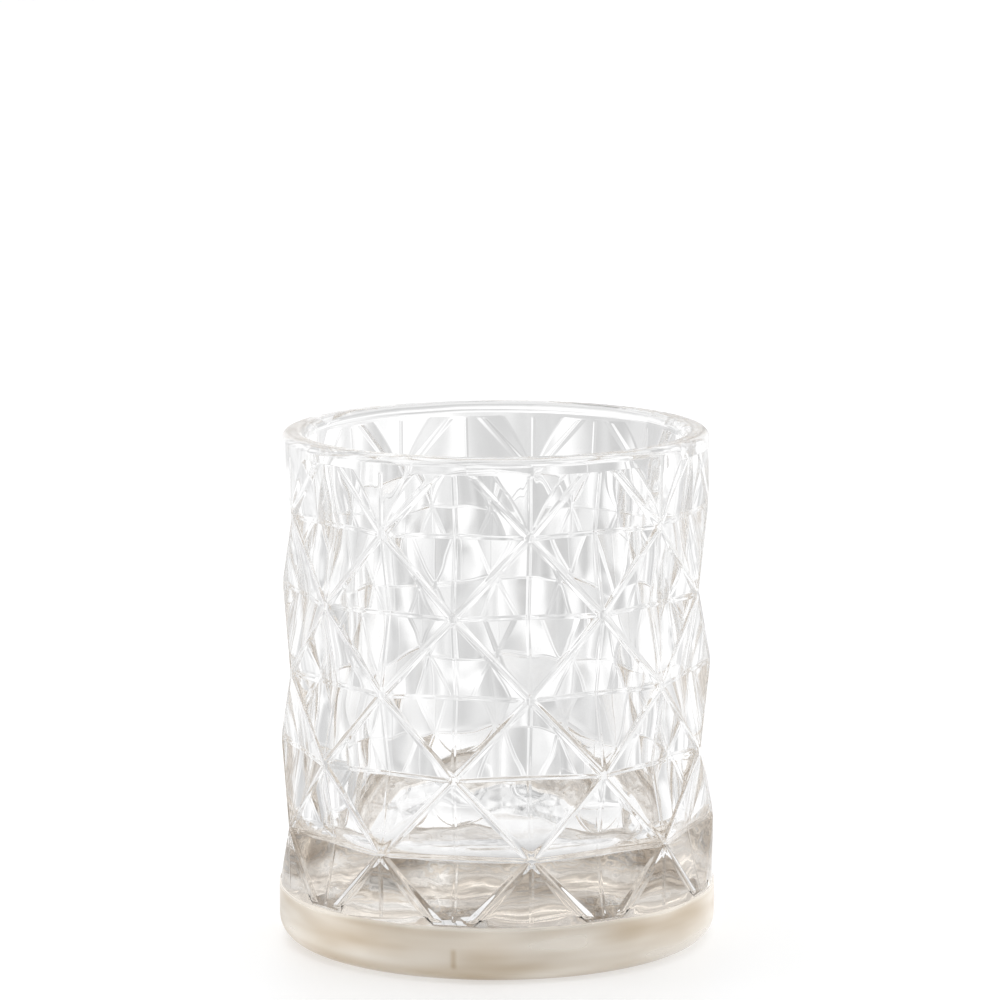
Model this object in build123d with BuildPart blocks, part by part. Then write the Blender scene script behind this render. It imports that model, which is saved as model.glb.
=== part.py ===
from build123d import *
import os
from math import cos, radians, sin

# Pressed-glass tealight holder. Millimetres, +Z up, origin at the centre of the foot on the surface
# that it stands on. The lowest row of relief stars has one star facing -Y.

# Overall sizes
height = 83.0               # standing surface to the top of the lip
base_radius = 35.3          # outside of the glass at the foot, its widest
lip_lean = 0.85             # the wall leans in this much from the foot to the lip
wall_at_floor = 6.1         # glass thickness beside the cavity's floor
floor_z = 17.0              # top of the solid glass foot, where the tealight stands

# Lip, fire-polished
lip_outer_round = 1.4       # outside of its top
lip_inner_round = 1.9       # inside of its top
lip_top_flat = 0.9          # between those two rounds
lip_side_flat = 0.4         # straight side of the plain band that runs round under the lip
lip_under_round = 0.8       # lower edge of that band, where a recess runs in under it

# Rounding of the foot and the cavity
heel_radius = 3.5           # outside corner at the foot
cavity_corner = 5.0         # corner between the cavity's wall and its floor
ring_width = 6.8            # flat ring that the foot rests on, round the push-up under it
punt_depth = 1.2            # height of that push-up
foot_step = 0.15            # the foot's plain side stands proud of the wall above it
foot_step_height = 1.2      # height over which that step fades
foot_edge_round = 0.6       # upper edge of the plain side, where a recess runs down onto it

# Star relief
columns = 9                 # stars in each row
rows = 5                    # rows of stars, each turned half a step against the one below
top_row_drop = 9.9          # from the plain band down to the highest row
lowest_row_rise = 10.6      # from the top of the foot's plain side up to the lowest row
recess_depth = 2.45         # from a star to the crossing in the middle of a recess, along the radius
star_sink = 0.09            # the highest stars stand this far inside the lip's side
overshoot = 1.3             # a cutter runs past its neighbouring stars by this ratio
cutter_reach = 10.0         # how far a cutter's back stands outside the stars

# Sprayed coat on the foot
lacquer_top_z = 9.1         # upper edge of the coat, which covers the foot's plain side
lacquer_thickness = 0.15

# Worked out from the sizes above
half_step = 180 / columns                        # angle from a star to the next column, in degrees
glass_foot_z = lacquer_thickness                 # the glass stands on its coat
rest_radius = base_radius - heel_radius          # outer edge of the flat ring
punt_radius = rest_radius - ring_width
lip_radius = base_radius - lip_lean              # outside of the glass at the lip
lip_wall = lip_outer_round + lip_top_flat + lip_inner_round
lip_band = lip_outer_round + lip_side_flat + lip_under_round
lip_band_z = height - lip_band
wall_top_z = lip_band_z + lip_under_round        # the relief wall ends inside the plain band
cavity_lip_radius = lip_radius - lip_wall
cavity_floor_radius = base_radius - wall_at_floor
lowest_row_z = lacquer_top_z + lowest_row_rise
taper_end_z = lip_band_z - top_row_drop          # height of the highest row
row_pitch = (taper_end_z - lowest_row_z) / (rows - 1)
star_taper = (lip_lean + star_sink) / (rows - 1)


def star_radius_at(row):
    """Radius of the stars in one row, counted from the lowest."""
    return base_radius - star_taper * row


def recess_cutter(row):
    """Cutter for one recess of a row: four flat facets that meet at a low crossing.

    The facets pass through the stars to the left, right, above and below, so neighbouring
    recesses share their ridges. The cutter faces +X at its row's own height.
    """
    row_z = lowest_row_z + row * row_pitch
    side_star = star_radius_at(row)
    crossing = side_star - recess_depth
    side_x = crossing + overshoot * (side_star * cos(radians(half_step)) - crossing)
    side_y = overshoot * side_star * sin(radians(half_step))
    rise = overshoot * row_pitch
    upper_x = crossing + overshoot * (star_radius_at(row + 1) - crossing)
    lower_x = crossing + overshoot * (star_radius_at(row - 1) - crossing)
    with BuildPart() as cutter:
        with BuildSketch(Plane.XY.offset(row_z)) as middle:
            with BuildLine():
                Polyline(
                    (crossing, 0),
                    (side_x, side_y),
                    (side_star + cutter_reach, 0),
                    (side_x, -side_y),
                    close=True,
                )
            make_face()
        loft(sections=[middle.sketch.face(), Vertex(upper_x, 0, row_z + rise)], ruled=True)
        loft(sections=[middle.sketch.face(), Vertex(lower_x, 0, row_z - rise)], ruled=True)
    return cutter.part


def push_up_outline():
    """Half outline of the push-up under the foot, from the axis to the flat ring."""
    ThreePointArc(
        (0, glass_foot_z + punt_depth),
        (punt_radius / 2, glass_foot_z + punt_depth * 3 / 4),
        (punt_radius, glass_foot_z),
    )


def heel_outline(coat):
    """Half outline of the flat ring and the heel, drawn a coat's thickness outside the glass."""
    ring_z = glass_foot_z - coat
    Line((punt_radius, ring_z), (rest_radius, ring_z))
    RadiusArc(
        (rest_radius, ring_z),
        (base_radius + coat, glass_foot_z + heel_radius),
        -(heel_radius + coat),
    )


# Glass body: solid foot, star-cut wall and rounded lip, pressed in one piece
cutters = [recess_cutter(row) for row in range(rows)]

with BuildPart() as glass_body:
    with BuildSketch(Plane.XZ):
        with BuildLine():
            push_up_outline()
            heel_outline(0)
            Line((base_radius, glass_foot_z + heel_radius), (base_radius, lacquer_top_z))
            Line(
                (base_radius, lacquer_top_z),
                (base_radius - foot_step, lacquer_top_z + foot_step_height),
            )
            Line(
                (base_radius - foot_step, lacquer_top_z + foot_step_height),
                (base_radius, lowest_row_z),
            )
            Line((base_radius, lowest_row_z), (lip_radius, taper_end_z))
            Line((lip_radius, taper_end_z), (lip_radius, wall_top_z))
            Line((lip_radius, wall_top_z), (0, wall_top_z))
            Line((0, wall_top_z), (0, glass_foot_z + punt_depth))
        make_face()
    revolve(axis=Axis.Z)

    for row, cutter in enumerate(cutters):
        with PolarLocations(0, columns, start_angle=-90 + half_step * (row + 1)):
            add(cutter, mode=Mode.SUBTRACT)

    with BuildSketch(Plane.XZ):
        with BuildLine():
            push_up_outline()
            heel_outline(0)
            Line((base_radius, glass_foot_z + heel_radius), (base_radius, lacquer_top_z))
            RadiusArc(
                (base_radius, lacquer_top_z),
                (base_radius - foot_edge_round, lacquer_top_z + foot_edge_round),
                -foot_edge_round,
            )
            Line(
                (base_radius - foot_edge_round, lacquer_top_z + foot_edge_round),
                (0, lacquer_top_z + foot_edge_round),
            )
            Line((0, lacquer_top_z + foot_edge_round), (0, glass_foot_z + punt_depth))
        make_face()
    revolve(axis=Axis.Z)

    with BuildSketch(Plane.XZ):
        with BuildLine():
            Line((0, lip_band_z), (lip_radius - lip_under_round, lip_band_z))
            RadiusArc(
                (lip_radius - lip_under_round, lip_band_z),
                (lip_radius, wall_top_z),
                -lip_under_round,
            )
            Line((lip_radius, wall_top_z), (lip_radius, height - lip_outer_round))
            RadiusArc(
                (lip_radius, height - lip_outer_round),
                (lip_radius - lip_outer_round, height),
                -lip_outer_round,
            )
            Line((lip_radius - lip_outer_round, height), (0, height))
            Line((0, height), (0, lip_band_z))
        make_face()
    revolve(axis=Axis.Z)

    with BuildSketch(Plane.XZ):
        with BuildLine():
            Line((0, floor_z), (cavity_floor_radius - cavity_corner, floor_z))
            RadiusArc(
                (cavity_floor_radius - cavity_corner, floor_z),
                (cavity_floor_radius, floor_z + cavity_corner),
                -cavity_corner,
            )
            Line(
                (cavity_floor_radius, floor_z + cavity_corner),
                (cavity_lip_radius, height - lip_inner_round),
            )
            RadiusArc(
                (cavity_lip_radius, height - lip_inner_round),
                (cavity_lip_radius + lip_inner_round, height),
                lip_inner_round,
            )
            Line((cavity_lip_radius + lip_inner_round, height), (0, height))
            Line((0, height), (0, floor_z))
        make_face()
    revolve(axis=Axis.Z, mode=Mode.SUBTRACT)

glass_body.part.label = "glass_body"

# Base lacquer: the sprayed coat over the foot's side, heel and flat ring; the push-up stays clear
with BuildPart() as base_lacquer:
    with BuildSketch(Plane.XZ):
        with BuildLine():
            heel_outline(lacquer_thickness)
            Line(
                (base_radius + lacquer_thickness, glass_foot_z + heel_radius),
                (base_radius + lacquer_thickness, lacquer_top_z),
            )
            Line((base_radius + lacquer_thickness, lacquer_top_z), (base_radius, lacquer_top_z))
            Line((base_radius, lacquer_top_z), (base_radius, glass_foot_z + heel_radius))
            heel_outline(0)
            Line((punt_radius, 0), (punt_radius, glass_foot_z))
        make_face()
    revolve(axis=Axis.Z)

base_lacquer.part.label = "base_lacquer"

os.makedirs("parts", exist_ok=True)
export_step(glass_body.part, "parts/glass_body.step")
export_step(base_lacquer.part, "parts/base_lacquer.step")
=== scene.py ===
"""Pressed-glass tealight holder: its looks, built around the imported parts."""

import logging
from dataclasses import dataclass, field
from enum import Enum
from math import atan2, cos, degrees, hypot, radians, sin
from typing import Any, Callable, Iterator, Sequence

import bpy
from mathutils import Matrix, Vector

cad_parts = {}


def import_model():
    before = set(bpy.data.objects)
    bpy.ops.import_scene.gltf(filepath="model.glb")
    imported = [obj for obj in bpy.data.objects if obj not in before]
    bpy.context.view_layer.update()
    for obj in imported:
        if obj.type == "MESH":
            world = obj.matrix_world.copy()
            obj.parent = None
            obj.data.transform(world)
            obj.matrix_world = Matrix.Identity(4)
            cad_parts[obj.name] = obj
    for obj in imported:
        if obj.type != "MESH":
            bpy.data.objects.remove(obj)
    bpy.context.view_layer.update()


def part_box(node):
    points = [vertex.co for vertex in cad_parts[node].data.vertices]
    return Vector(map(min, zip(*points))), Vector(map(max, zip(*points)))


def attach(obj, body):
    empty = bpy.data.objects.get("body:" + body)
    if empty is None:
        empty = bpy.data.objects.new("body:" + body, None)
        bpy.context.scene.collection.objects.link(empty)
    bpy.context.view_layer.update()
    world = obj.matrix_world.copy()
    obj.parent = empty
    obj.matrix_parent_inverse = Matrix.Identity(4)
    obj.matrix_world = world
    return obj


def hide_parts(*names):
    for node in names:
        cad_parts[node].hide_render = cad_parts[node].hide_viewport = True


MM = 0.001
LOG = logging.getLogger("tealight_holder")

Point = tuple[float, float]
Colour = tuple[float, float, float, float]

WHITE: Colour = (1.0, 1.0, 1.0, 1.0)
SMOOTH_BELOW = radians(35)
LARGE_FACE_WEIGHT = 60
SEAM_GAP = 0.002 * MM


# Shader maths


class Signal:
    """A value on a shader socket that takes part in ordinary Python arithmetic."""

    def __init__(self, bench: "FinishBench", socket: bpy.types.NodeSocket) -> None:
        """Wrap a socket.

        Args:
            bench: the finish whose node tree the socket belongs to.
            socket: the output socket to wrap.
        """
        self.bench = bench
        self.socket = socket

    def _maths(self, operation: str, *values: "Signal | float") -> "Signal":
        """Add one Math node."""
        return self.bench.node("ShaderNodeMath", {"operation": operation}, dict(enumerate(values)))

    def __add__(self, other: "Signal | float") -> "Signal":
        """self + other."""
        return self._maths("ADD", self, other)

    def __radd__(self, other: float) -> "Signal":
        """other + self."""
        return self._maths("ADD", other, self)

    def __sub__(self, other: "Signal | float") -> "Signal":
        """self - other."""
        return self._maths("SUBTRACT", self, other)

    def __rsub__(self, other: float) -> "Signal":
        """other - self."""
        return self._maths("SUBTRACT", other, self)

    def __mul__(self, other: "Signal | float") -> "Signal":
        """self * other."""
        return self._maths("MULTIPLY", self, other)

    def __rmul__(self, other: float) -> "Signal":
        """other * self."""
        return self._maths("MULTIPLY", other, self)

    def __truediv__(self, other: "Signal | float") -> "Signal":
        """self / other."""
        return self._maths("DIVIDE", self, other)

    def __rtruediv__(self, other: float) -> "Signal":
        """other / self."""
        return self._maths("DIVIDE", other, self)

    def clamped(self) -> "Signal":
        """The value held between 0 and 1."""
        return self.bench.node("ShaderNodeClamp", {}, {"Value": self})

    def root(self) -> "Signal":
        """The square root of the value."""
        return self._maths("SQRT", self)

    def turn_of(self, across: "Signal") -> "Signal":
        """The angle, in radians, of a point this far up and the given distance across."""
        return self._maths("ARCTAN2", self, across)

    def folded(self, half_period: float) -> "Signal":
        """The distance to the nearest multiple of twice the half period."""
        return self._maths("PINGPONG", self, half_period)

    def eased(self) -> "Signal":
        """The value held between 0 and 1, with a soft start and end."""
        held = self.clamped()
        return held * held * (3.0 - held * 2.0)


class FinishBench:
    """The node tree of one finish: a method that adds any node, and short ones for the usual nodes."""

    def __init__(self, name: str) -> None:
        """Start a material with an empty node tree.

        Args:
            name: the material's name.
        """
        self.material = bpy.data.materials.new(name)
        self.material.use_nodes = True
        self.tree = self.material.node_tree
        self.tree.nodes.clear()

    def node(
        self,
        kind: str,
        settings: dict[str, Any],
        inputs: dict[int | str, Any],
        output: int | str = 0,
    ) -> Signal:
        """Add a node, set its options and then fill its sockets.

        Args:
            kind: the node's type name.
            settings: the node's own options.
            inputs: values or signals by socket name or number.
            output: the output socket that is handed back.

        Returns:
            The chosen output as a signal.
        """
        made = self.tree.nodes.new(kind)
        for name, value in settings.items():
            setattr(made, name, value)
        for name, value in inputs.items():
            socket = made.inputs[name]
            if isinstance(value, Signal):
                self.tree.links.new(value.socket, socket)
            else:
                socket.default_value = value
        if not made.outputs:
            return Signal(self, made.inputs[0])
        return Signal(self, made.outputs[output])

    def place(self) -> Signal:
        """Object coordinates, in metres."""
        return self.node("ShaderNodeTexCoord", {}, {}, "Object")

    def split(self, place: Signal, axes: str) -> Iterator[Signal]:
        """The coordinates of a place along the named axes."""
        return (self.node("ShaderNodeSeparateXYZ", {}, {"Vector": place}, axis) for axis in axes)

    def stretched(self, place: Signal, length: float, height: float) -> Signal:
        """A place measured in lengths across and in heights upwards."""
        scale = (1.0 / length, 1.0 / length, 1.0 / height)
        return self.node("ShaderNodeMapping", {}, {"Vector": place, "Scale": scale})

    def noise(self, place: Signal, scale: float, detail: float, roughness: float = 0.5) -> Signal:
        """Soft noise between 0 and 1."""
        inputs = {"Vector": place, "Scale": scale, "Detail": detail, "Roughness": roughness}
        return self.node("ShaderNodeTexNoise", {}, inputs)

    def blend(self, share: Signal, low: Colour, high: Colour) -> Signal:
        """The colour a share of the way from one colour to another."""
        inputs = {"Factor": share, 6: low, 7: high}
        return self.node("ShaderNodeMix", {"data_type": "RGBA"}, inputs, 2)

    def bumped(self, height: Signal, strength: float, distance: float) -> Signal:
        """The surface's normal, tilted by a height."""
        inputs = {"Height": height, "Strength": strength, "Distance": distance}
        return self.node("ShaderNodeBump", {}, inputs)

    def principled(self, inputs: dict[int | str, Any]) -> bpy.types.Material:
        """Dress the material in one Principled shader."""
        return self.finish_with(self.node("ShaderNodeBsdfPrincipled", {}, inputs))

    def finish_with(self, surface: Signal) -> bpy.types.Material:
        """Send a shader to the output.

        Args:
            surface: the finished shader.

        Returns:
            The material.
        """
        self.node("ShaderNodeOutputMaterial", {}, {"Surface": surface})
        return self.material


# Finishes


@dataclass(frozen=True)
class ClearGlass:
    """Clear glass with fire-polished beads along its creases and the waviness that a press leaves."""

    name: str = "clear_glass"
    tint: Colour = (0.985, 0.985, 0.985, 1.0)
    ior: float = 1.5
    roughness: float = 0.0
    wave_size: float = 9.0 * MM
    wave_height: float = 0.36 * MM
    wave_detail: float = 0.5
    wave_roughness: float = 0.4
    bead_height: float = 0.16 * MM
    ridge_bead: float = 0.80 * MM
    level_bead: float = 0.45 * MM
    upright_bead: float = 0.45 * MM
    level_share: float = 0.5
    upright_share: float = 0.3
    edge_fade: float = 0.6 * MM

    def material(self, relief: "StarRelief") -> bpy.types.Material:
        """Build the material.

        Args:
            relief: the stars whose creases carry the beads.

        Returns:
            The material.
        """
        bench = FinishBench(self.name)
        place = bench.place()
        waves = bench.noise(place, 1.0 / self.wave_size, self.wave_detail, self.wave_roughness)
        height = self._beads(bench, place, relief) + waves * (self.wave_height / self.bead_height)
        return bench.principled(
            {
                "Base Color": self.tint,
                "Roughness": self.roughness,
                "IOR": self.ior,
                "Transmission Weight": 1.0,
                "Normal": bench.bumped(height, 1.0, self.bead_height),
            }
        )

    def _beads(self, bench: FinishBench, place: Signal, relief: "StarRelief") -> Signal:
        """Height of the beads, 1 along a ridge, on the star-cut part of the outer wall only.

        Args:
            bench: the finish that is being built.
            place: the object coordinates.
            relief: the stars whose creases carry the beads.

        Returns:
            The height.
        """
        x, y, z = bench.split(place, "XYZ")
        step = radians(180 / relief.columns)
        column = (y.turn_of(x) + radians(90)) / step
        row = (z - relief.lowest_row_z) / relief.row_pitch
        step_width = step * relief.base_radius
        across = step_width * relief.row_pitch / hypot(step_width, relief.row_pitch)
        beads = self._bead((column + row).folded(1.0) * across, self.ridge_bead)
        beads = beads + self._bead((column - row).folded(1.0) * across, self.ridge_bead)
        level = self._bead(row.folded(0.5) * relief.row_pitch, self.level_bead)
        upright = self._bead(column.folded(0.5) * step_width, self.upright_bead)
        beads = (beads + level * self.level_share + upright * self.upright_share).clamped()
        radius = (x * x + y * y).root()
        deepest = relief.star_radius(relief.rows) - relief.recess_depth - relief.wall_margin
        outside = ((radius - deepest) / relief.wall_margin).eased()
        above_foot = ((z - relief.lacquer_top_z - self.edge_fade) / self.edge_fade).eased()
        below_lip = ((relief.lip_band_z - z) / self.edge_fade).eased()
        return beads * outside * above_foot * below_lip

    def _bead(self, distance: Signal, half_width: float) -> Signal:
        """Section of one bead by the distance from its middle."""
        return (1.0 - distance / half_width).eased()


@dataclass(frozen=True)
class PearlLacquer:
    """Satin champagne lacquer with fine pearl, sprayed on the glass; its colour carries soft bands of
    painted reflection and a painted highlight along its top edge.
    """

    name: str = "pearl_lacquer"
    shade: Colour = (0.64, 0.52, 0.375, 1.0)
    light: Colour = (0.96, 0.89, 0.79, 1.0)
    roughness: float = 0.32
    metallic: float = 0.35
    # size and contrast of the painted reflection streaks in the coat's colour
    band_height: float = 4.2 * MM
    band_length: float = 22.0 * MM
    band_detail: float = 1.5
    band_contrast: float = 3.0
    band_drop: float = 0.95
    roughness_spread: float = 0.1
    coat_weight: float = 0.25
    coat_roughness: float = 0.15
    flake_size: float = 0.09 * MM
    flake_height: float = 0.004 * MM
    flake_strength: float = 0.5
    seam_turn: float = -110.0
    seam_step: float = 120.0
    seam_width: float = 0.8 * MM
    seam_low: float = 2.0 * MM
    seam_high: float = 6.0 * MM
    seam_fade: float = 1.0 * MM
    seam_dark: float = 0.5
    # reach and strength of the painted highlight along the coat's top edge
    highlight_fade_height: float = 0.9 * MM
    painted_edge_highlight: float = 0.6

    def material(self, glass: "GlassBody") -> bpy.types.Material:
        """Build the material.

        Args:
            glass: the glass that the coat lies on.

        Returns:
            The material.
        """
        bench = FinishBench(self.name)
        place = bench.place()
        # painted reflection: lighter and darker streaks in the colour stand in for the surroundings
        # mirrored in the satin coat
        reflection_streaks = bench.noise(
            bench.stretched(place, self.band_length, self.band_height), 1.0, self.band_detail
        )
        flakes = bench.node("ShaderNodeTexVoronoi", {}, {"Vector": place, "Scale": 1.0 / self.flake_size})
        x, y, z = bench.split(place, "XYZ")
        around = (y.turn_of(x) - radians(self.seam_turn)).folded(radians(self.seam_step / 2))
        seam = (1.0 - around * (glass.base_radius / self.seam_width)).eased()
        seam = seam * ((z - self.seam_low) / self.seam_fade).eased()
        seam = seam * ((self.seam_high - z) / self.seam_fade).eased()
        # painted highlight: the colour lightens towards the coat's top edge
        edge = ((z - glass.lacquer_top_z) / self.highlight_fade_height + 1.0).eased()
        tone = reflection_streaks * self.band_contrast - self.band_drop
        tone = (tone + edge * self.painted_edge_highlight - seam * self.seam_dark).clamped()
        roughest = self.roughness + self.roughness_spread / 2
        return bench.principled(
            {
                "Base Color": bench.blend(tone, self.shade, self.light),
                "Metallic": self.metallic,
                "Roughness": tone * -self.roughness_spread + roughest,
                "Coat Weight": self.coat_weight,
                "Coat Roughness": self.coat_roughness,
                "Normal": bench.bumped(flakes, self.flake_strength, self.flake_height),
            }
        )


@dataclass(frozen=True)
class LacquerInside:
    """The coat's inner side, seen through the glass: a satin mirror with a painted glow, bright at the
    ring and heel and faint up the side.
    """

    name: str = "pearl_lacquer_inside"
    shade: Colour = (0.42, 0.36, 0.30, 1.0)
    light: Colour = (0.93, 0.90, 0.86, 1.0)
    # painted glow: the inner face gives off light of its own, brighter at the ring and heel than up the
    # side
    painted_ring_glow: Colour = (0.26, 0.25, 0.235, 1.0)
    painted_side_glow: Colour = (0.04, 0.036, 0.03, 1.0)
    bright_below: float = 2.0 * MM
    dim_above: float = 4.0 * MM
    patch_size: float = 7.0 * MM
    patch_height: float = 2.6 * MM
    patch_detail: float = 2.0
    patch_contrast: float = 2.4
    patch_drop: float = 0.7
    roughness: float = 0.09
    metallic: float = 0.85

    def material(self) -> bpy.types.Material:
        """Build the material.

        Returns:
            The material.
        """
        bench = FinishBench(self.name)
        place = bench.place()
        patches = bench.noise(place, 1.0 / self.patch_size, self.patch_detail)
        height = bench.node("ShaderNodeSeparateXYZ", {}, {"Vector": place}, "Z")
        # mask of the painted glow: ring glow below bright_below, side glow above dim_above
        side = ((height - self.bright_below) / (self.dim_above - self.bright_below)).eased()
        tone = (patches * self.patch_contrast - self.patch_drop).clamped()
        return bench.principled(
            {
                "Base Color": bench.blend(tone, self.shade, self.light),
                "Metallic": self.metallic,
                "Roughness": self.roughness,
                "Emission Color": bench.blend(side, self.painted_ring_glow, self.painted_side_glow),
                "Emission Strength": 1.0,
                "Normal": bench.bumped(patches, 1.0, self.patch_height),
            }
        )


@dataclass(frozen=True)
class PlainSurface:
    """A plain stage surface that may give off light of its own."""

    name: str
    colour: Colour
    roughness: float = 0.5
    glow: float = 0.0
    shine: float = 0.5

    def material(self) -> bpy.types.Material:
        """Build the material.

        Returns:
            The material.
        """
        return FinishBench(self.name).principled(
            {
                "Base Color": self.colour,
                "Roughness": self.roughness,
                "Specular IOR Level": self.shine,
                "Emission Color": self.colour,
                "Emission Strength": self.glow,
            }
        )


@dataclass(frozen=True)
class TentCloth:
    """Glowing white cloth of the light tent, hung in soft folds and darker on the open side."""

    name: str = "tent_cloth"
    open_way: tuple[float, float] = (-0.155, -0.988)
    fold_width: float = 0.10
    fold_height: float = 0.5
    fold_detail: float = 1.5
    fold_contrast: float = 3.0
    fold_drop: float = 1.0
    fold_depth: float = 0.6
    bright: float = 1.22
    open_depth: float = 0.42
    open_from: float = -0.05
    open_reach: float = 0.35

    def material(self) -> bpy.types.Material:
        """Build the material.

        Returns:
            The material.
        """
        bench = FinishBench(self.name)
        place = bench.place()
        x, y = bench.split(place, "XY")
        folds = bench.noise(
            bench.stretched(place, self.fold_width, self.fold_height), 1.0, self.fold_detail
        )
        shade = (folds * self.fold_contrast - self.fold_drop).eased() * self.fold_depth
        towards_opening = x * self.open_way[0] + y * self.open_way[1]
        openness = ((towards_opening - self.open_from) / self.open_reach).eased()
        glow = self.bright - shade - openness * self.open_depth
        cloth = bench.finish_with(bench.node("ShaderNodeEmission", {}, {"Color": glow, "Strength": 1.0}))
        cloth.cycles.emission_sampling = "NONE"
        return cloth


# Mesh work


class EditMode(Enum):
    """What edit mode selects."""

    VERTICES = "VERT"
    EDGES = "EDGE"
    FACES = "FACE"


def activate(piece: bpy.types.Object) -> None:
    """Make a piece the only selected object and the active one.

    Args:
        piece: the piece.
    """
    bpy.ops.object.select_all(action="DESELECT")
    piece.select_set(True)
    bpy.context.view_layer.objects.active = piece


def select_parts(piece: bpy.types.Object, mode: EditMode, wanted: Callable[[Any], bool]) -> None:
    """Select some vertices, edges or faces of the active piece and stay in edit mode.

    Args:
        piece: the active object, in object mode.
        mode: what to select.
        wanted: says whether one vertex, edge or polygon is selected.
    """
    bpy.ops.object.mode_set(mode="EDIT")
    bpy.ops.mesh.select_mode(type=mode.value)
    bpy.ops.mesh.select_all(action="DESELECT")
    bpy.ops.object.mode_set(mode="OBJECT")
    mesh = piece.data
    parts = {
        EditMode.VERTICES: mesh.vertices,
        EditMode.EDGES: mesh.edges,
        EditMode.FACES: mesh.polygons,
    }[mode]
    for part in parts:
        part.select = wanted(part)
    bpy.ops.object.mode_set(mode="EDIT")


def arc(centre: Point, radius: float, start: float, end: float, steps: int) -> list[Point]:
    """Points along an arc of a half outline, its start left out.

    Args:
        centre: the arc's centre as (radius, height).
        radius: the arc's radius.
        start: first angle in degrees, 0 pointing away from the axis.
        end: last angle in degrees.
        steps: how many pieces the arc is divided into.

    Returns:
        The points as (radius, height).
    """
    turns = [radians(start + (end - start) * step / steps) for step in range(1, steps + 1)]
    return [(centre[0] + radius * cos(turn), centre[1] + radius * sin(turn)) for turn in turns]


class Core(Enum):
    """What a turned body has on its axis."""

    SOLID = "TRIFAN"
    OPEN = "NOTHING"


def turned(
    name: str, outline: Sequence[Point], segments: int, core: Core = Core.SOLID
) -> bpy.types.Object:
    """Turn a closed body on the Z axis by drawing a disc or a hoop along a half outline.

    Args:
        name: the new object's name.
        outline: (radius, height) points, all clear of the axis. A solid's run from its under side
            to its top; a ring's run once round its section.
        segments: faces round the body.
        core: whether the body is solid on its axis or an open ring.

    Returns:
        The body, in object mode, its faces pointing outwards.
    """
    path = list(outline) if core is Core.SOLID else [*outline, outline[0]]
    radius, height = path[0]
    bpy.ops.object.select_all(action="DESELECT")
    bpy.ops.mesh.primitive_circle_add(
        vertices=segments, radius=radius, fill_type=core.value, location=(0, 0, height)
    )
    body = bpy.context.object
    body.name = name
    bpy.ops.object.transform_apply(location=True, rotation=True, scale=True)
    bpy.ops.object.mode_set(mode="EDIT")
    bpy.ops.mesh.select_mode(type="EDGE" if core is Core.OPEN else "FACE")
    bpy.ops.mesh.select_all(action="SELECT")
    for (radius, height), (next_radius, next_height) in zip(path, path[1:]):
        rise = (0, 0, next_height - height)
        bpy.ops.mesh.extrude_region_move(TRANSFORM_OT_translate={"value": rise})
        growth = next_radius / radius
        bpy.ops.transform.resize(value=(growth, growth, 1), center_override=(0, 0, next_height))
    bpy.ops.mesh.select_all(action="SELECT")
    if core is Core.OPEN:
        bpy.ops.mesh.remove_doubles(threshold=SEAM_GAP)
    bpy.ops.mesh.normals_make_consistent(inside=False)
    bpy.ops.object.mode_set(mode="OBJECT")
    return body


def round_off(piece: bpy.types.Object, width: float, segments: int) -> None:
    """Round the edges of a piece that carry a bevel weight, then settle its normals.

    Args:
        piece: the piece, in object mode.
        width: how far the rounding reaches from an edge of weight 1.
        segments: faces across the rounding.
    """
    activate(piece)
    bevel = piece.modifiers.new("rounding", "BEVEL")
    bevel.limit_method = "WEIGHT"
    bevel.width = width
    bevel.segments = segments
    bevel.use_clamp_overlap = False
    bevel.loop_slide = True
    bpy.ops.object.modifier_apply(modifier=bevel.name)
    bpy.ops.object.shade_smooth_by_angle(angle=SMOOTH_BELOW)
    settle = piece.modifiers.new("settled_normals", "WEIGHTED_NORMAL")
    settle.keep_sharp = True
    settle.weight = LARGE_FACE_WEIGHT
    bpy.ops.object.modifier_apply(modifier=settle.name)


# The glass


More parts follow.
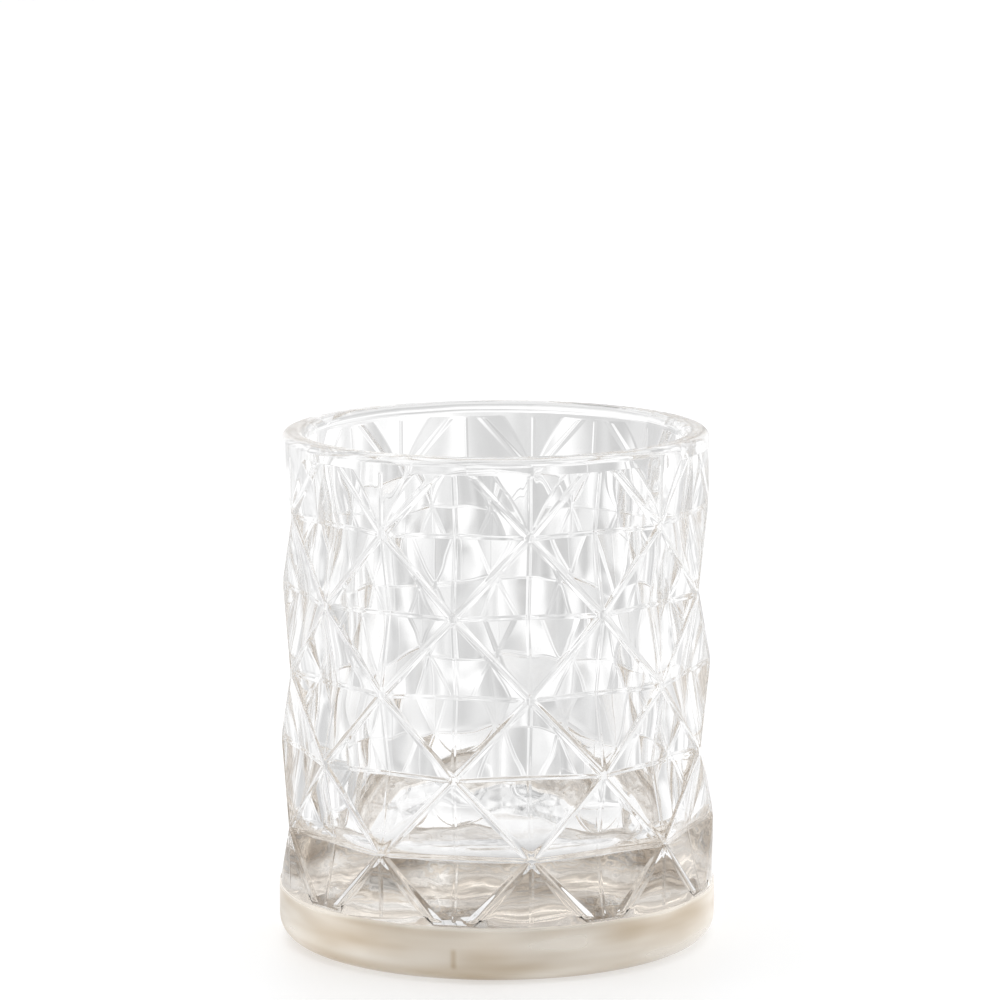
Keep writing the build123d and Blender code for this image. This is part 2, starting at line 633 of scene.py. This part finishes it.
@dataclass
class StarRelief:
    """Rows of eight-pointed stars pressed into the wall, with flat facets falling to low crossings."""

    base_radius: float
    lip_radius: float
    lip_band_z: float
    lacquer_top_z: float
    columns: int = 9
    rows: int = 5
    top_row_drop: float = 9.9 * MM
    lowest_row_rise: float = 10.6 * MM
    foot_ledge: float = 0.3 * MM
    recess_depth: float = 2.45 * MM
    star_sink: float = 0.09 * MM
    wall_overshoot: float = 4.0 * MM
    wall_margin: float = 0.5 * MM
    arch_overshoot: float = 0.4 * MM
    end_flare: float = 1.3
    end_run: float = 16.0 * MM
    level_slack: float = 0.01 * MM

    lowest_row_z: float = field(init=False)
    row_pitch: float = field(init=False)
    star_taper: float = field(init=False)

    def __post_init__(self) -> None:
        """Work out the spacing of the rows."""
        self.lowest_row_z = self.lacquer_top_z + self.lowest_row_rise
        span = self.lip_band_z - self.top_row_drop - self.lowest_row_z
        self.row_pitch = span / (self.rows - 1)
        lean = self.base_radius - self.lip_radius
        self.star_taper = (lean + self.star_sink) / (self.rows - 1)

    def star_radius(self, row: int) -> float:
        """Radius of the stars in a row, counted from the lowest."""
        return self.base_radius - self.star_taper * row

    def row_z(self, row: int) -> float:
        """Height of a row."""
        return self.lowest_row_z + self.row_pitch * row

    def top_stars(self) -> list[Vector]:
        """Find the stars of the highest row.

        Returns:
            Their places.
        """
        top = self.rows - 1
        radius = self.star_radius(top)
        half_step = 180 / self.columns
        turns = [radians(half_step * (2 * column + top % 2) - 90) for column in range(self.columns)]
        return [Vector((radius * cos(turn), radius * sin(turn), self.row_z(top))) for turn in turns]

    def node_of(self, spot: Vector) -> tuple[int, int]:
        """Row and half-column of a corner of the relief.

        Args:
            spot: the corner's place.

        Returns:
            (row, half-column); the sum of the two is even on a star.
        """
        row = round((spot.z - self.lowest_row_z) / self.row_pitch)
        half_step = 180 / self.columns
        column = round((degrees(atan2(spot.y, spot.x)) + 90) / half_step) % (2 * self.columns)
        return row, column

    def target_radius(self, row: int, on_star_column: bool) -> float:
        """Radius that the corners of one ring are drawn to.

        Args:
            row: the ring's row; the rings past both ends run outside the wall.
            on_star_column: whether the corner stands in a column that has a star in this row.

        Returns:
            The radius.
        """
        if 0 <= row < self.rows:
            depth = 0.0 if on_star_column else self.recess_depth
            return self.star_radius(row) - depth
        if not on_star_column:
            return self.base_radius + self.wall_overshoot
        return self.star_radius(row)

    def block(self) -> bpy.types.Object:
        """Build the solid that the stars' facets bound, wider than the wall past both ends.

        Returns:
            The block, closed, in object mode.
        """
        bottom = self.row_z(-1)
        depth = self.row_z(self.rows) - bottom
        bpy.ops.object.select_all(action="DESELECT")
        bpy.ops.mesh.primitive_cylinder_add(
            vertices=2 * self.columns,
            radius=self.base_radius,
            depth=depth,
            end_fill_type="NGON",
            location=(0, 0, bottom + depth / 2),
        )
        block = bpy.context.object
        block.name = "star_relief_block"
        bpy.ops.object.transform_apply(location=True, rotation=True, scale=True)
        corners = block.data.vertices
        select_parts(
            block,
            EditMode.EDGES,
            lambda edge: abs(corners[edge.vertices[0]].co.z - corners[edge.vertices[1]].co.z) > MM,
        )
        bpy.ops.mesh.subdivide(number_cuts=self.rows)
        bpy.ops.object.mode_set(mode="OBJECT")
        self._draw_rings(block)
        self._crease_facets(block)
        self._raise_end_arches(block)
        self._open_out(block)
        return block

    def _draw_rings(self, block: bpy.types.Object) -> None:
        """Draw every second corner of each ring to the star or the crossing radius.

        Args:
            block: the block, with its rings cut in.
        """
        for row in range(-1, self.rows + 1):
            for parity in (0, 1):
                on_star = (row + parity) % 2 == 0
                radius = self.target_radius(row, on_star)
                growth = radius / self.base_radius
                select_parts(
                    block,
                    EditMode.VERTICES,
                    lambda corner: self.node_of(corner.co)[0] == row
                    and self.node_of(corner.co)[1] % 2 == parity,
                )
                bpy.ops.transform.resize(value=(growth, growth, 1), center_override=(0, 0, 0))
                bpy.ops.object.mode_set(mode="OBJECT")

    def _crease_facets(self, block: bpy.types.Object) -> None:
        """Divide each four-sided panel along the ridge that joins two stars.

        Args:
            block: the block, with its rings drawn in.
        """
        corners = block.data.vertices

        def rows_of(panel: bpy.types.MeshPolygon) -> list[int]:
            """Rows that a panel's corners stand in."""
            return [self.node_of(corners[index].co)[0] for index in panel.vertices]

        def inner(panel: bpy.types.MeshPolygon) -> bool:
            """Whether a panel lies between two rows of stars."""
            rows = rows_of(panel)
            return len(rows) == 4 and min(rows) >= 0 and max(rows) < self.rows

        def outer(panel: bpy.types.MeshPolygon) -> bool:
            """Whether a panel lies past the first or the last row."""
            rows = rows_of(panel)
            return len(rows) == 4 and (min(rows) < 0 or max(rows) >= self.rows)

        select_parts(block, EditMode.FACES, inner)
        bpy.ops.mesh.quads_convert_to_tris(quad_method="LONGEST_DIAGONAL", ngon_method="BEAUTY")
        bpy.ops.object.mode_set(mode="OBJECT")
        select_parts(block, EditMode.FACES, outer)
        bpy.ops.mesh.quads_convert_to_tris(quad_method="SHORTEST_DIAGONAL", ngon_method="BEAUTY")
        bpy.ops.object.mode_set(mode="OBJECT")

    def _raise_end_arches(self, block: bpy.types.Object) -> None:
        """Push the middle of each end ridge out past the wall, along its own facet.

        Args:
            block: the block, with its facets creased.
        """
        for end, past in ((0, -1), (self.rows - 1, self.rows)):
            corners = block.data.vertices

            def is_end_ridge(edge: bpy.types.MeshEdge) -> bool:
                """Tell whether an edge runs from an end star to the point past it.

                Args:
                    edge: an edge of the block.

                Returns:
                    Whether it is such a ridge.
                """
                nodes = sorted(self.node_of(corners[index].co) for index in edge.vertices)
                if [node[0] for node in nodes] != sorted((end, past)):
                    return False
                star = next(node for node in nodes if node[0] == end)
                point = next(node for node in nodes if node[0] == past)
                return sum(star) % 2 == 0 and sum(point) % 2 == 0 and star[1] != point[1]

            known = {tuple(corner.co) for corner in corners}
            select_parts(block, EditMode.EDGES, is_end_ridge)
            bpy.ops.mesh.subdivide(number_cuts=1)
            bpy.ops.object.mode_set(mode="OBJECT")
            crossing = self.target_radius(end, False)
            point = self.target_radius(past, True)
            facet_axis_z = self.row_z(end) - (past - end) * self.row_pitch * crossing / (point - crossing)
            middles = [corner for corner in block.data.vertices if tuple(corner.co) not in known]
            radius = hypot(middles[0].co.x, middles[0].co.y)
            growth = (self.base_radius + self.arch_overshoot) / radius
            select_parts(block, EditMode.VERTICES, lambda corner: tuple(corner.co) not in known)
            bpy.ops.transform.resize(value=(growth,) * 3, center_override=(0, 0, facet_axis_z))
            bpy.ops.object.mode_set(mode="OBJECT")

    def _open_out(self, block: bpy.types.Object) -> None:
        """Cut the block off at the plain band and the foot's ledge and widen it past the wall there.

        Args:
            block: the block, with its arches raised.
        """
        activate(block)
        for level, upwards in ((self.lip_band_z, 1), (self.lacquer_top_z + self.foot_ledge, -1)):
            bpy.ops.object.mode_set(mode="EDIT")
            bpy.ops.mesh.select_all(action="SELECT")
            bpy.ops.mesh.bisect(
                plane_co=(0, 0, level), plane_no=(0, 0, upwards), use_fill=True, clear_outer=True
            )
            bpy.ops.object.mode_set(mode="OBJECT")
            select_parts(
                block,
                EditMode.FACES,
                lambda face: len(face.vertices) > 4 and abs(face.center.z - level) < self.level_slack,
            )
            flare = (self.end_flare, self.end_flare, 1)
            run = upwards * self.end_run
            bpy.ops.mesh.extrude_region_move(TRANSFORM_OT_translate={"value": (0, 0, 0)})
            bpy.ops.transform.resize(value=flare, center_override=(0, 0, level))
            bpy.ops.mesh.extrude_region_move(TRANSFORM_OT_translate={"value": (0, 0, run)})
            bpy.ops.mesh.select_all(action="SELECT")
            bpy.ops.mesh.normals_make_consistent(inside=False)
            bpy.ops.object.mode_set(mode="OBJECT")


@dataclass
class GlassBody:
    """The pressed glass: solid foot, star-cut wall and fire-polished lip, in one piece."""

    foot_z: float
    height: float
    base_radius: float
    lacquer_top_z: float
    finish: ClearGlass = ClearGlass()
    lip_lean: float = 0.85 * MM
    wall_at_floor: float = 6.1 * MM
    floor_z: float = 17.0 * MM
    lip_outer_round: float = 1.4 * MM
    lip_inner_round: float = 1.9 * MM
    lip_top_flat: float = 0.9 * MM
    lip_side_flat: float = 0.4 * MM
    lip_under_round: float = 0.8 * MM
    heel_radius: float = 3.5 * MM
    cavity_corner: float = 5.0 * MM
    ring_width: float = 6.8 * MM
    punt_depth: float = 1.2 * MM
    foot_step: float = 0.15 * MM
    foot_step_height: float = 1.2 * MM
    centre_disc: float = 3.0 * MM
    segments: int = 216
    arc_steps: int = 8
    ridge_round: float = 0.5 * MM
    rounding_faces: int = 3
    star_gather: float = 2.2 * MM
    merge_gap: float = 0.02 * MM
    flat_angle: float = 0.1
    crease_angle: float = 2.6
    relief_reach: float = 4.0 * MM
    band_margin: float = 0.05 * MM
    row_margin: float = 1.0 * MM
    level_slope: float = 0.1
    level_weight: float = 0.5
    upright_slope: float = 0.97
    upright_weight: float = 0.9
    ridge_weight: float = 0.8

    def foot_outline(self) -> list[Point]:
        """Half outline of the under side and the heel, from the middle outwards.

        Returns:
            The points as (radius, height).
        """
        rest_radius = self.base_radius - self.heel_radius
        punt_radius = rest_radius - self.ring_width
        outline = []
        for step in range(1, self.arc_steps + 1):
            share = step / self.arc_steps
            radius = self.centre_disc + (punt_radius - self.centre_disc) * share
            outline.append((radius, self.foot_z + self.punt_depth * (1 - share**2)))
        outline.append((rest_radius, self.foot_z))
        centre = (rest_radius, self.foot_z + self.heel_radius)
        return outline + arc(centre, self.heel_radius, -90, 0, self.arc_steps)

    def outline(self, relief: StarRelief) -> list[Point]:
        """Half outline of the uncut body, round the lip and down to the cavity's floor.

        Args:
            relief: the stars that will be cut into the wall.

        Returns:
            The points as (radius, height).
        """
        lip_radius = self.base_radius - self.lip_lean
        cavity_lip = lip_radius - self.lip_outer_round - self.lip_top_flat - self.lip_inner_round
        cavity_floor = self.base_radius - self.wall_at_floor
        outline = self.foot_outline()
        outline.append((self.base_radius, self.lacquer_top_z))
        step_top = self.lacquer_top_z + self.foot_step_height
        outline.append((self.base_radius - self.foot_step, step_top))
        outline.append((self.base_radius, relief.row_z(0)))
        outline.append((lip_radius, relief.row_z(relief.rows - 1)))
        outline.append((lip_radius, self.height - self.lip_outer_round))
        outer = (lip_radius - self.lip_outer_round, self.height - self.lip_outer_round)
        outline += arc(outer, self.lip_outer_round, 0, 90, self.arc_steps)
        inner = (cavity_lip + self.lip_inner_round, self.height - self.lip_inner_round)
        outline.append((inner[0], self.height))
        outline += arc(inner, self.lip_inner_round, 90, 180, self.arc_steps)
        corner = (cavity_floor - self.cavity_corner, self.floor_z + self.cavity_corner)
        outline.append((cavity_floor, corner[1]))
        outline += arc(corner, self.cavity_corner, 0, -90, self.arc_steps)
        outline.append((self.centre_disc, self.floor_z))
        return outline

    def build(self) -> bpy.types.Object:
        """Press the stars into the turned body and fire-polish its edges.

        Returns:
            The finished glass.
        """
        lip_band = self.lip_outer_round + self.lip_side_flat + self.lip_under_round
        relief = StarRelief(
            base_radius=self.base_radius,
            lip_radius=self.base_radius - self.lip_lean,
            lip_band_z=self.height - lip_band,
            lacquer_top_z=self.lacquer_top_z,
        )
        body = turned("pressed_glass", self.outline(relief), self.segments)
        block = relief.block()
        press = body.modifiers.new("press", "BOOLEAN")
        press.operation = "INTERSECT"
        press.solver = "EXACT"
        press.object = block
        activate(body)
        bpy.ops.object.modifier_apply(modifier=press.name)
        bpy.data.objects.remove(block)
        self._clean()
        self._gather_top_stars(body, relief)
        self._weigh_edges(body, relief)
        round_off(body, self.ridge_round, self.rounding_faces)
        body.data.materials.clear()
        body.data.materials.append(self.finish.material(relief))
        return body

    def _clean(self) -> None:
        """In the active body, merge what the cut left double and join faces that lie in one plane."""
        bpy.ops.object.mode_set(mode="EDIT")
        bpy.ops.mesh.select_all(action="SELECT")
        bpy.ops.mesh.remove_doubles(threshold=self.merge_gap)
        bpy.ops.mesh.select_all(action="SELECT")
        bpy.ops.mesh.dissolve_limited(angle_limit=radians(self.flat_angle))
        bpy.ops.object.mode_set(mode="OBJECT")

    def _gather_top_stars(self, body: bpy.types.Object, relief: StarRelief) -> None:
        """Merge the slivers between each top star and the lip's side into the star.

        Args:
            body: the body, with its stars cut in.
            relief: the stars.
        """
        cursor = bpy.context.scene.cursor
        for star in relief.top_stars():
            cursor.location = star
            select_parts(
                body, EditMode.VERTICES, lambda corner: (corner.co - star).length < self.star_gather
            )
            bpy.ops.mesh.merge(type="CURSOR")
            bpy.ops.object.mode_set(mode="OBJECT")
        cursor.location = (0, 0, 0)

    def _weigh_edges(self, body: bpy.types.Object, relief: StarRelief) -> None:
        """Weigh the relief's creases: ridges and upright valleys wide, level valleys narrow.

        Args:
            body: the body, with its stars cut in.
            relief: the stars.
        """
        mesh = body.data
        weights = mesh.attributes.new("bevel_weight_edge", "FLOAT", "EDGE")
        sides: dict[tuple[int, int], list[Vector]] = {}
        for face in mesh.polygons:
            for key in face.edge_keys:
                sides.setdefault(key, []).append(face.normal)
        for edge in mesh.edges:
            start, end = (mesh.vertices[index].co for index in edge.vertices)
            middle = (start + end) / 2
            radius = hypot(middle.x, middle.y)
            in_relief = self.lacquer_top_z < middle.z < relief.lip_band_z + self.band_margin
            normals = sides[edge.key]
            if not in_relief or radius < self.base_radius - self.relief_reach or len(normals) < 2:
                continue
            if degrees(normals[0].angle(normals[1])) < self.crease_angle:
                continue
            lowest = relief.row_z(0) - self.row_margin
            highest = relief.row_z(relief.rows - 1) + self.row_margin
            among_stars = lowest < middle.z < highest
            weights.data[edge.index].value = self._weight(end - start, among_stars)

    def _weight(self, run: Vector, among_stars: bool) -> float:
        """Bevel weight of a crease.

        Args:
            run: the vector that the crease runs along.
            among_stars: whether it lies between the first and the last row of stars.

        Returns:
            The weight; a level ledge past the stars has none.
        """
        slope = abs(run.z) / run.length
        if slope < self.level_slope:
            return self.level_weight if among_stars else 0.0
        if slope > self.upright_slope:
            return self.upright_weight
        return self.ridge_weight


# The coat


@dataclass
class BaseLacquer:
    """The pearl coat sprayed over the foot's side, heel and rest ring; the push-up stays clear."""

    glass: GlassBody
    thickness: float
    bite: float = 0.05 * MM
    shoulder: float = 0.7
    smooth_below: float = 50.0
    outer_finish: PearlLacquer = PearlLacquer()
    inner_finish: LacquerInside = LacquerInside()
    segments: int = 216

    def face_outline(self, distance: float) -> list[Point]:
        """Half outline of one face of the coat, from the push-up's edge up to the coat's edge.

        Args:
            distance: how far the face lies outside the glass.

        Returns:
            The points as (radius, height).
        """
        glass = self.glass
        rest_radius = glass.base_radius - glass.heel_radius
        ring_z = glass.foot_z - distance
        centre = (rest_radius, glass.foot_z + glass.heel_radius)
        ring = [(rest_radius - glass.ring_width, ring_z), (rest_radius, ring_z)]
        return ring + arc(centre, glass.heel_radius + distance, -90, 0, 2 * glass.arc_steps)

    def build(self) -> bpy.types.Object:
        """Build the coat.

        Returns:
            The finished coat.
        """
        glass = self.glass
        top = glass.lacquer_top_z
        side = glass.base_radius
        edge = [
            (side + self.thickness, top - self.thickness),
            (side + self.thickness * self.shoulder, top - self.thickness * (1 - self.shoulder)),
            (side, top),
            (side - self.bite, top),
        ]
        inner = self.face_outline(-self.bite)
        outline = self.face_outline(self.thickness) + edge + inner[::-1]
        coat = turned("pearl_coat", outline, self.segments, Core.OPEN)
        bpy.ops.object.shade_smooth_by_angle(angle=radians(self.smooth_below))
        coat.data.materials.clear()
        coat.data.materials.append(self.outer_finish.material(glass))
        coat.data.materials.append(self.inner_finish.material())
        for face in coat.data.polygons:
            face.material_index = int(self.faces_glass(face))
        return coat

    def faces_glass(self, face: bpy.types.MeshPolygon) -> bool:
        """Whether a face lies against the glass: it looks back at the middle of the foot."""
        middle = Vector((0, 0, self.glass.lacquer_top_z))
        return face.normal.dot(middle - face.center) > 0


# The studio


@dataclass(frozen=True)
class Panel:
    """A flat glowing panel that lights the set from outside the tent, unseen by the camera."""

    name: str
    turn: float
    reach: float
    low: float
    width: float
    tall: float
    glow: float
    tilt: float = 90.0
    divisions: int = 2
    roughness: float = 0.9

    def stand(self) -> None:
        """Stand the panel facing the middle of the set."""
        bpy.ops.object.select_all(action="DESELECT")
        way = radians(self.turn)
        place = (self.reach * cos(way), self.reach * sin(way), self.low + self.tall / 2)
        bpy.ops.mesh.primitive_grid_add(
            x_subdivisions=self.divisions,
            y_subdivisions=self.divisions,
            size=1.0,
            location=place,
            rotation=(radians(self.tilt), 0, way - radians(90)),
        )
        panel = bpy.context.object
        panel.name = self.name
        panel.scale = (self.width, self.tall, 1.0)
        bpy.ops.object.transform_apply(location=True, rotation=True, scale=True)
        panel.data.materials.append(PlainSurface(self.name, WHITE, self.roughness, self.glow).material())
        panel.visible_camera = False


@dataclass
class Studio:
    """White table, soft lights and the camera."""

    lens: float = 171.6
    sensor_width: float = 36.0
    far_clip: float = 50.0
    distance: float = 760.0 * MM
    camera_height: float = 190.8 * MM
    side_step: float = 0.71 * MM
    azimuth: float = -8.9
    pitch: float = 8.94
    roll: float = -0.18
    table_radius: float = 6.0
    table_thickness: float = 0.02
    table_shade: float = 0.5
    table_glow: float = 0.48
    table_roughness: float = 0.35
    table_shine: float = 0.1
    tent_radius: float = 0.45
    tent_steps: tuple[Point, ...] = ((1.0, 0.8), (0.7, 1.3), (0.2, 1.5))
    segments: int = 96
    room_light: float = 0.5
    bounces: int = 64
    clear_bounces: int = 16
    panels: tuple[Panel, ...] = (
        Panel("backdrop", 81.0, 3.0, 0.02, 3.2, 2.4, 0.8),
        Panel("left_softbox", 168.0, 1.6, 0.0, 1.1, 1.3, 1.1),
        Panel("right_softbox", -2.0, 1.6, 0.0, 1.1, 1.3, 1.1),
        Panel("top_softbox", 81.0, 0.2, 0.6, 1.4, 1.4, 1.2, 0.0),
    )

    def set_camera(self) -> None:
        """Place the camera, aimed slightly down at the holder."""
        camera = bpy.data.objects.new("camera", bpy.data.cameras.new("camera"))
        bpy.context.scene.collection.objects.link(camera)
        turn = radians(self.azimuth)
        right = Vector((cos(turn), sin(turn), 0))
        back = Vector((sin(turn), -cos(turn), 0))
        camera.location = back * self.distance + right * self.side_step
        camera.location.z = self.camera_height
        camera.rotation_euler = (radians(90 - self.pitch), 0, turn)
        camera.rotation_euler.rotate_axis("Z", radians(self.roll))
        camera.data.lens = self.lens
        camera.data.sensor_width = self.sensor_width
        camera.data.clip_end = self.far_clip
        bpy.context.scene.camera = camera

    def set_table(self) -> None:
        """Lay a wide white table top."""
        rim = self.table_radius
        outline = [(rim, -self.table_thickness), (rim, 0.0), (rim / 2, 0.0)]
        table = turned("table", outline, self.segments)
        shade = (self.table_shade,) * 3 + (1.0,)
        glow = self.table_glow / self.table_shade
        finish = PlainSurface("white_table", shade, self.table_roughness, glow, self.table_shine)
        table.data.materials.append(finish.material())
        table.visible_transmission = False
        table.visible_glossy = False

    def set_tent(self) -> None:
        """Set up the light tent that the glass mirrors and the camera looks past."""
        reach = self.tent_radius
        wall = [(reach, -MM)] + [(reach * across, reach * up) for across, up in self.tent_steps]
        tent = turned("light_tent", wall, self.segments)
        tent.data.materials.append(TentCloth().material())
        tent.visible_camera = False
        tent.visible_diffuse = False
        tent.visible_shadow = False

    def set_room(self) -> None:
        """Light the room: a dim room, with glowing panels round and above the tent."""
        world = bpy.data.worlds.new("room")
        world.use_nodes = True
        light = world.node_tree.nodes["Background"].inputs
        light["Color"].default_value = WHITE
        light["Strength"].default_value = self.room_light
        scene = bpy.context.scene
        scene.world = world
        scene.view_settings.view_transform = "Standard"
        scene.cycles.max_bounces = self.bounces
        scene.cycles.transmission_bounces = self.bounces
        scene.cycles.glossy_bounces = self.bounces
        scene.cycles.transparent_max_bounces = self.clear_bounces
        for panel in self.panels:
            panel.stand()


def main() -> None:
    """Build the holder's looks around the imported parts."""
    logging.basicConfig(level=logging.INFO, format="%(message)s")
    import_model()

    studio = Studio()
    studio.set_camera()
    studio.set_table()
    studio.set_tent()
    studio.set_room()
    LOG.info("studio set")

    glass_low, glass_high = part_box("glass_body")
    coat_low, coat_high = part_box("base_lacquer")
    glass = GlassBody(
        foot_z=glass_low.z,
        height=glass_high.z,
        base_radius=(glass_high.x - glass_low.x) / 2,
        lacquer_top_z=coat_high.z,
    )
    body = glass.build()
    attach(body, "root")
    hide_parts("glass_body")
    LOG.info("%s: %d faces", body.name, len(body.data.polygons))

    coat = BaseLacquer(glass=glass, thickness=glass_low.z - coat_low.z).build()
    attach(coat, "root")
    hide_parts("base_lacquer")
    LOG.info("%s: %d faces", coat.name, len(coat.data.polygons))


if __name__ == "__main__":
    main()
